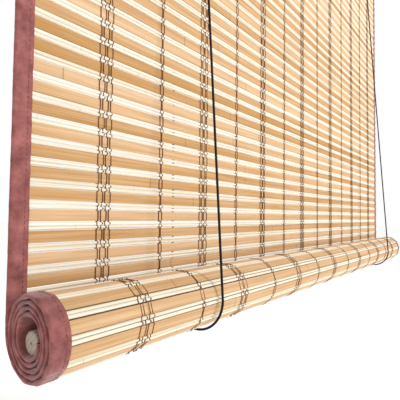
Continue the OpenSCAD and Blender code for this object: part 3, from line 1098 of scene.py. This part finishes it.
@dataclass
class LiftCord:
    """One lift cord: tied to its eye, down the front, under the roll and up to the head."""

    cloth: Cloth
    side: Side
    radius: float = 1.25 * MM
    strands: int = 3
    lay: float = 9 * MM
    ring_step: float = 0.8 * MM
    sides: int = 12
    tie_drop: float = 2.5 * MM

    def __post_init__(self) -> None:
        """Takes the cord's places from the frame."""
        word = self.side.name.lower()
        self.word = word
        front_low, front_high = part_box(f"cord_front_{word}")
        loop_low, loop_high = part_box(f"cord_loop_{word}")
        _, rear_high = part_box(f"cord_rear_{word}")
        self.x = (front_low.x + front_high.x) / 2
        self.loop_radius = (loop_high.y - loop_low.y) / 2 - self.radius
        self.loop_z = loop_high.z
        self.eye_y = front_high.y - self.tie_drop
        self.knot_z = front_high.z - self.tie_drop
        self.wheel_y = rear_high.y - self.radius
        self.rear_top = rear_high.z

    def twist(self, name: str, route: Sequence[Vector], turned: float = 0.0) -> bpy.types.Object:
        """Makes a laid cord of round strands along a route.

        Args:
            name: The piece's name.
            route: The points that the cord's middle follows.
            turned: The angle at which the strands start.

        Returns:
            The new piece, closed at both ends.
        """
        points, frames = even_steps(route, self.ring_step)
        rings = []
        length = 0.0
        for i, (point, (side_way, up_way)) in enumerate(zip(points, frames)):
            length += (point - points[i - 1]).length if i else 0.0
            spin = turned + 2 * math.pi * length / self.lay
            ring = []
            for k in range(self.sides):
                angle = 2 * math.pi * k / self.sides
                bulge = abs(math.cos(self.strands * (angle - spin) / 2))
                reach = self.radius * (0.78 + 0.26 * bulge ** 0.6)
                ring.append(point + reach * (math.cos(angle) * side_way + math.sin(angle) * up_way))
            rings.append(ring)
        return add_tube(name, rings)

    def front_route(self) -> List[Vector]:
        """Returns the front run, from the knot at the eye to the roll's front."""
        top = Vector((self.x, self.eye_y, self.knot_z))
        foot = Vector((self.x, self.cloth.roll_y - self.loop_radius, self.loop_z))
        return [top, foot]

    def loop_route(self) -> List[Vector]:
        """Returns the slack half turn under the roll."""
        turns = [math.pi * i / 40 for i in range(41)]
        return [Vector((self.x, self.cloth.roll_y - self.loop_radius * math.cos(a),
                        self.loop_z - self.loop_radius * math.sin(a))) for a in turns]

    def rear_route(self) -> List[Vector]:
        """Returns the rear run, from the roll's rear up to its head pulley."""
        foot = Vector((self.x, self.cloth.roll_y + self.loop_radius, self.loop_z))
        return [foot, Vector((self.x, self.wheel_y, self.rear_top))]

    def make_knot(self, name: str, centre: Vector, size: float) -> bpy.types.Object:
        """Makes an overhand knot: a closed trefoil of cord, drawn tight."""
        route = []
        for i in range(73):
            t = 2 * math.pi * i / 72
            route.append(centre + size * Vector((
                math.sin(t) + 2 * math.sin(2 * t), -math.sin(3 * t),
                math.cos(t) - 2 * math.cos(2 * t))))
        return add_wires(name, [np.array(route)], 0.8 * self.radius, resolution=3)

    def make_tie(self, name: str) -> bpy.types.Object:
        """Makes the small loop of cord through the screw eye, above the knot."""
        low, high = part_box(f"cord_eye_{self.word}")
        wire = (high.y - low.y) / 2
        centre = Vector((self.x, self.eye_y, low.z + wire))
        reach = wire + 0.8 * self.radius
        turns = [2 * math.pi * i / 24 for i in range(25)]
        route = np.array([centre + reach * Vector((0, math.cos(a), 1.15 * math.sin(a)))
                          for a in turns])
        return add_wires(name, [route], 0.8 * self.radius, resolution=3)

    def build(self, head_route: Sequence[Vector]) -> None:
        """Builds, dresses and hangs the cord's four runs, its knots and its tie.

        Args:
            head_route: The points over the pulley and along the rear rail to the lock.
        """
        runs = (("front", self.front_route(), None), ("loop", self.loop_route(), "cord_cradle"),
                ("rear", self.rear_route(), None), ("head", head_route, "headrail"))
        for run, route, body in runs:
            piece = LIFT_CORD.dress(self.twist(f"lift_cord_{run}_{self.word}", route))
            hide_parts(f"cord_{run}_{self.word}")
            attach(piece, body or "headrail")
            if run == "front":
                gather(piece)
            elif run == "rear":
                gather(piece)
            LOG.info("%s: %.0f mm", piece.name, course_length(route) / MM)
        centre = Vector((self.x, self.eye_y, self.knot_z))
        tie = self.make_tie(f"cord_tie_{self.word}")
        knot = self.make_knot(f"cord_knot_{self.word}", centre, 0.85 * MM)
        end = Vector(head_route[-1]) + Vector((0, 0, 1.5 * MM))
        stop = self.make_knot(f"cord_end_knot_{self.word}", end, 0.85 * MM)
        for piece in (tie, knot, stop):
            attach(LIFT_CORD.dress(piece), "headrail")


def course_length(route: Sequence[Vector]) -> float:
    """Returns the length along a route of points."""
    return sum((b - a).length for a, b in zip(route, route[1:]))


def even_steps(route: Sequence[Vector],
               step: float) -> Tuple[List[Vector], List[Tuple[Vector, Vector]]]:
    """Divides a route into even steps, with two square directions at each point.

    Args:
        route: The corner points.
        step: The wanted length of a step.

    Returns:
        The points, and for each the two directions across the route.
    """
    corners = [Vector(p) for p in route]
    marks = np.concatenate([[0.0], np.cumsum([(b - a).length for a, b in
                                              zip(corners, corners[1:])])])
    count = max(2, round(marks[-1] / step) + 1)
    at = np.linspace(0, marks[-1], count)
    table = np.array(corners)
    points = [Vector([float(np.interp(t, marks, table[:, k])) for k in range(3)]) for t in at]
    frames = []
    side_way = Vector((1, 0, 0))
    for i in range(count):
        way = (points[min(i + 1, count - 1)] - points[max(i - 1, 0)]).normalized()
        if i == 0 and abs(way.x) > 0.9:
            side_way = Vector((0, 1, 0))
        side_way = (side_way - way * side_way.dot(way)).normalized()
        frames.append((side_way.copy(), way.cross(side_way)))
    return points, frames


def add_tube(name: str, rings: Sequence[Sequence[Vector]]) -> bpy.types.Object:
    """Makes a closed tube from rings of points and returns it, with its faces outwards."""
    mesh = bmesh.new()
    made = [[mesh.verts.new(p) for p in ring] for ring in rings]
    sides = len(made[0])
    for low, high in zip(made, made[1:]):
        for k in range(sides):
            j = (k + 1) % sides
            mesh.faces.new((low[k], low[j], high[j], high[k]))
    mesh.faces.new(made[0][::-1])
    mesh.faces.new(made[-1])
    bmesh.ops.recalc_face_normals(mesh, faces=mesh.faces)
    data = bpy.data.meshes.new(name)
    mesh.to_mesh(data)
    mesh.free()
    piece = bpy.data.objects.new(name, data)
    bpy.context.scene.collection.objects.link(piece)
    return smooth(piece, 60)


# ---------------------------------------------------------------- rails and fittings


@dataclass
class Island:
    """One loose solid of a CAD node: its corners."""

    low: Vector
    high: Vector

    def middle(self) -> Vector:
        """Returns the middle of the solid's box."""
        return (self.low + self.high) / 2


def islands_of(node: str) -> List[Island]:
    """Splits a CAD node into its loose solids, in order along X and then Y."""
    mesh = bmesh.new()
    mesh.from_mesh(frame["nodes"][node].data)
    bmesh.ops.remove_doubles(mesh, verts=mesh.verts, dist=0.001 * MM)
    left = set(mesh.verts)
    found = []
    while left:
        group = [left.pop()]
        for vert in group:
            for edge in vert.link_edges:
                other = edge.other_vert(vert)
                if other in left:
                    left.remove(other)
                    group.append(other)
        points = np.array([v.co for v in group])
        found.append(Island(Vector(points.min(0)), Vector(points.max(0))))
    mesh.free()
    return sorted(found, key=lambda i: (round(i.low.x, 4), round(i.low.y, 4)))


def refine(node: str, name: str, bevel: float, segments: int = 2) -> bpy.types.Object:
    """Copies a CAD node, clears its loose triangles and breaks its sharp edges.

    Args:
        node: The CAD node.
        name: The new piece's name.
        bevel: The width of the rounded edges.
        segments: How many steps round an edge.

    Returns:
        The new piece, which stands for the node.
    """
    piece = copy_of(frame["nodes"][node], name, Matrix.Identity(4))
    piece.parent = None
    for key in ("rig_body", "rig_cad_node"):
        if key in piece:
            del piece[key]
    with editing(piece):
        bpy.ops.mesh.select_all(action="SELECT")
        bpy.ops.mesh.remove_doubles(threshold=0.002 * MM)
        bpy.ops.mesh.dissolve_limited(angle_limit=math.radians(0.5))
    modify(piece, "BEVEL", width=bevel, segments=segments, limit_method="ANGLE",
           angle_limit=math.radians(40), use_clamp_overlap=True)
    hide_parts(node)
    return smooth(piece, 38)


@dataclass
class Screws:
    """A set of round-headed screws with cross recesses, one master copied to each place."""

    node: str
    way: Vector
    head_height: float = 1.8 * MM
    sides: int = 28
    thread_pitch: float = 1.1 * MM
    thread_depth: float = 0.18 * MM
    shank_sides: int = 12
    finish: Finish = SCREW_ZINC

    def make_master(self, radius: float, length: float) -> bpy.types.Object:
        """Makes a screw along +Z: a domed head with a cross recess on a threaded shank."""
        head = add_bar("screw_head", (0, 0, 0), (0, 0, self.head_height), radius, self.sides)
        with editing(head) as mesh:
            pick_edges(head, mesh, lambda e: min(v.co.z for v in e.verts) > 0.9 * self.head_height)
            bpy.ops.mesh.bevel(offset=0.62 * self.head_height, segments=5, affect="EDGES")
        for turn in (0, 1):
            half = (0.62 * radius, 0.13 * radius, 0.45 * self.head_height)
            half = half if turn == 0 else (half[1], half[0], half[2])
            top = self.head_height + 0.1 * MM
            cutter = add_block("recess", (-half[0], -half[1], top - 2 * half[2]),
                               (half[0], half[1], top))
            modify(head, "BOOLEAN", operation="DIFFERENCE", object=cutter, solver="EXACT")
            discard(cutter)
        pitch, core = self.thread_pitch, 0.42 * radius
        rings = []
        for i in range(int((length - self.head_height) / pitch * 2) + 1):
            z = -i * pitch / 2
            reach = core if i % 2 else core + self.thread_depth
            rings.append([Vector((reach * math.cos(2 * math.pi * k / self.shank_sides),
                                  reach * math.sin(2 * math.pi * k / self.shank_sides), z))
                          for k in range(self.shank_sides)])
        rings[0] = [p + Vector((0, 0, 0.3 * MM)) for p in rings[0]]
        shank = add_tube("screw_shank", rings)
        return join("screw_master", [head, shank])

    def build(self) -> None:
        """Builds, dresses and places the node's screws."""
        islands = islands_of(self.node)
        axis = max(range(3), key=lambda k: abs(self.way[k]))
        across = (axis + 1) % 3
        first = islands[0]
        radius = (first.high[across] - first.low[across]) / 2
        length = first.high[axis] - first.low[axis]
        master = self.make_master(radius, length)
        turn = self.way.to_track_quat("Z", "Y").to_matrix().to_4x4()
        copies = []
        for number, island in enumerate(islands):
            seat = island.middle()
            end = island.high[axis] if self.way[axis] > 0 else island.low[axis]
            seat[axis] = end - self.way[axis] * self.head_height
            spin = Matrix.Rotation(0.7 * number, 4, "Z")
            copies.append(copy_of(master, f"{self.node}_{number}",
                                  Matrix.Translation(seat) @ turn @ spin))
        discard(master)
        piece = self.finish.dress(smooth(join(f"{self.node}_cross_head", copies), 35))
        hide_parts(self.node)
        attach(piece, "headrail")
        LOG.info("%s: %d screws", piece.name, len(islands))


@dataclass
class HeadRail:
    """The two rails, their brackets and screws, the pulleys and the cord lock."""

    wood_bevel: float = 1.4 * MM
    steel_bevel: float = 0.35 * MM
    fine_bevel: float = 0.25 * MM
    lock_bevel: float = 0.3 * MM
    rivet_bevel: float = 0.2 * MM
    lane_offset: float = 3 * MM
    bend_before_pulley: float = 16 * MM
    bend_before_lock: float = 24 * MM
    tail_end: float = 4 * MM

    def build(self) -> None:
        """Builds and dresses every piece at the head."""
        refined = (
            ("front_rail", "front_rail_planed", self.wood_bevel, 3, RAIL_WOOD),
            ("rear_rail", "rear_rail_planed", self.wood_bevel, 3, RAIL_WOOD),
            ("wall_bracket_left", "bracket_angle_left", self.steel_bevel, 2, BRACKET_ZINC),
            ("wall_bracket_right", "bracket_angle_right", self.steel_bevel, 2, BRACKET_ZINC),
            ("pulley_block_left", "pulley_yoke_left", self.fine_bevel, 2, YOKE_ZINC),
            ("pulley_block_right", "pulley_yoke_right", self.fine_bevel, 2, YOKE_ZINC),
            ("lock_body", "lock_channel", self.lock_bevel, 2, YOKE_ZINC),
            ("pulley_pins", "pulley_rivets", self.rivet_bevel, 2, SCREW_ZINC),
            ("lock_pins", "lock_rivets", self.rivet_bevel, 2, SCREW_ZINC),
        )
        for node, name, bevel, segments, finish in refined:
            piece = finish.dress(refine(node, name, bevel, segments))
            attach(piece, "headrail")
            LOG.info("%s stands for %s", name, node)
        moving = (
            ("pulley_wheel_left", "pulley_sheave_left", "wheel_left", WHEEL_NYLON),
            ("pulley_wheel_right", "pulley_sheave_right", "wheel_right", WHEEL_NYLON),
            ("lock_roller", "lock_grooved_roller", "lock_wheel", WHEEL_NYLON),
            ("lock_cam", "lock_grip_cam", "lock_grip", CAM_NYLON),
        )
        for node, name, body, finish in moving:
            piece = finish.dress(refine(node, name, self.fine_bevel))
            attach(piece, body)
            LOG.info("%s stands for %s", name, node)
        up, down, rear = Vector((0, 0, 1)), Vector((0, 0, -1)), Vector((0, 1, 0))
        for node, way in (("bracket_screws", up), ("pulley_screws", down),
                          ("lock_screws", down), ("clamp_screws", rear)):
            Screws(node, way).build()
        for node in ("cord_eye_left", "cord_eye_right"):
            SCREW_ZINC.dress_node(node)

    def cord_route(self, side: Side, cord: LiftCord) -> List[Vector]:
        """Returns the head run of a lift cord, over its pulley and through the lock.

        Args:
            side: Which of the two cords it is.
            cord: The cord, for its place and size.

        Returns:
            The run's points, from the top of the rear run to its end below the lock.
        """
        word = side.name.lower()
        wheel_low, wheel_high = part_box(f"pulley_wheel_{word}")
        wheel = (wheel_low + wheel_high) / 2
        lock_low, lock_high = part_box("lock_roller")
        lock = (lock_low + lock_high) / 2
        left_low, left_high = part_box("pulley_wheel_left")
        tail_low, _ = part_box(f"cord_head_{word}")
        run = cord.x - wheel.x
        lane = lock.y + side.value * self.lane_offset
        level = lock.z + run
        turns = [math.pi / 2 * i / 8 for i in range(9)]
        over = [Vector((wheel.x + run * math.cos(a), wheel.y, wheel.z + run * math.sin(a)))
                for a in turns]
        bend_x = (left_low.x + left_high.x) / 2 - self.bend_before_pulley
        middle = [Vector((bend_x, wheel.y, wheel.z + run)),
                  Vector((lock.x + self.bend_before_lock, lane, level))]
        down = [Vector((lock.x - run * math.sin(a), lane, lock.z + run * math.cos(a)))
                for a in turns]
        return over + middle + down + [Vector((lock.x - run, lane, tail_low.z + self.tail_end))]


@dataclass
class Dowel:
    """The bottom dowel: a turned rod with broken ends and a lathe centre's pit in each."""

    chamfer: float = 1.1 * MM
    pit_radius: float = 1.3 * MM
    pit_depth: float = 1.6 * MM
    sides: int = 48

    def build(self) -> None:
        """Builds, dresses and hangs the dowel and its nails."""
        low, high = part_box("bottom_dowel")
        middle = (low + high) / 2
        radius = (high.z - low.z) / 2
        rod = add_bar("turned_dowel", (low.x, middle.y, middle.z), (high.x, middle.y, middle.z),
                      radius, self.sides)
        modify(rod, "BEVEL", width=self.chamfer, segments=3, limit_method="ANGLE",
               angle_limit=math.radians(60))
        with editing(rod) as mesh:
            bpy.ops.mesh.select_mode(type="FACE")
            pick(mesh, mesh.faces, lambda f: abs(f.normal.x) > 0.99)
            bmesh.update_edit_mesh(rod.data)
            bpy.ops.mesh.inset(thickness=radius - self.chamfer - self.pit_radius)
            bpy.ops.mesh.inset(thickness=0.6 * self.pit_radius, depth=-self.pit_depth)
        DOWEL_WOOD.dress(smooth(rod, 35))
        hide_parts("bottom_dowel")
        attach(rod, "roll")
        SCREW_ZINC.dress_node("dowel_nails")
        LOG.info("turned_dowel: %.0f mm across", 2 * radius / MM)


# ---------------------------------------------------------------- stage, light and camera


@dataclass
class Studio:
    """The camera, the pale floor, the pale room and one soft key light.

    The room is shown at full white, but it lights the blind by its own, lower strength, and
    the floor glows by what that leaves out, so that it stays as pale as the room.
    """

    lens: float = 34.44
    place: Tuple[float, float, float] = (-0.628, -0.2994, -0.6658)
    heading: float = 51.91
    pitch: float = 2.30
    roll: float = 0.62
    floor_z: float = -1.35
    floor_size: float = 60.0
    room: float = 0.62
    key_power: float = 44.0
    key_size: float = 0.4
    key_place: Tuple[float, float, float] = (1.1, -2.2, 0.7)
    key_aim: Tuple[float, float, float] = (-0.1, 0, -0.5)

    def add_camera(self) -> None:
        """Adds the camera and makes it the scene's camera."""
        data = bpy.data.cameras.new("camera")
        data.lens = self.lens
        data.clip_start = 0.01
        camera = bpy.data.objects.new("camera", data)
        bpy.context.scene.collection.objects.link(camera)
        turn = (Matrix.Rotation(-math.radians(self.heading), 4, "Z")
                @ Matrix.Rotation(math.radians(90 + self.pitch), 4, "X")
                @ Matrix.Rotation(math.radians(self.roll), 4, "Z"))
        camera.matrix_world = Matrix.Translation(self.place) @ turn
        bpy.context.scene.camera = camera

    def add_floor(self) -> None:
        """Adds the plain pale floor."""
        deselect()
        bpy.ops.mesh.primitive_plane_add(size=self.floor_size, location=(0, 0, self.floor_z))
        floor = bpy.context.object
        floor.name = "floor"
        material = bpy.data.materials.new("floor_paper")
        material.use_nodes = True
        shader = material.node_tree.nodes["Principled BSDF"]
        shader.inputs["Base Color"].default_value = colour("#FBFBFA")
        shader.inputs["Roughness"].default_value = 0.9
        shader.inputs["Emission Color"].default_value = (1, 1, 1, 1)
        shader.inputs["Emission Strength"].default_value = 1 - self.room
        floor.data.materials.append(material)

    def add_key_light(self) -> None:
        """Adds the square soft key light at its place, aimed at the blind."""
        data = bpy.data.lights.new("key", "AREA")
        data.size = self.key_size
        data.energy = self.key_power
        light = bpy.data.objects.new("key", data)
        bpy.context.scene.collection.objects.link(light)
        way = Vector(self.key_aim) - Vector(self.key_place)
        turn = way.to_track_quat("-Z", "Y").to_matrix().to_4x4()
        light.matrix_world = Matrix.Translation(self.key_place) @ turn

    def build(self) -> None:
        """Sets the pale room, the key light and the floor, shown without a film curve."""
        bpy.context.scene.view_settings.view_transform = "Standard"
        world = bpy.data.worlds.new("pale_room")
        bpy.context.scene.world = world
        world.use_nodes = True
        ground = world.node_tree.nodes["Background"]
        ground.inputs["Color"].default_value = (1, 1, 1, 1)
        seen = add_node(world.node_tree, "LightPath").outputs["Is Camera Ray"]
        strength = add_node(world.node_tree, "MapRange", {
            "Value": seen, "To Min": self.room, "To Max": 1.0})
        world.node_tree.links.new(strength.outputs[0], ground.inputs["Strength"])
        self.add_key_light()
        self.add_floor()


def main() -> None:
    """Builds the blind and its studio in order."""
    logging.basicConfig(level=logging.INFO, format="%(name)s: %(message)s")
    studio = Studio()
    studio.add_camera()
    cloth = Cloth()
    Splints(cloth).build()
    Warp(cloth).build()
    for side in Side:
        EdgeTape(cloth, side).build()
    head = HeadRail()
    head.build()
    for side in Side:
        cord = LiftCord(cloth, side)
        cord.build(head.cord_route(side, cord))
    Dowel().build()
    studio.build()


if __name__ == "__main__":
    main()
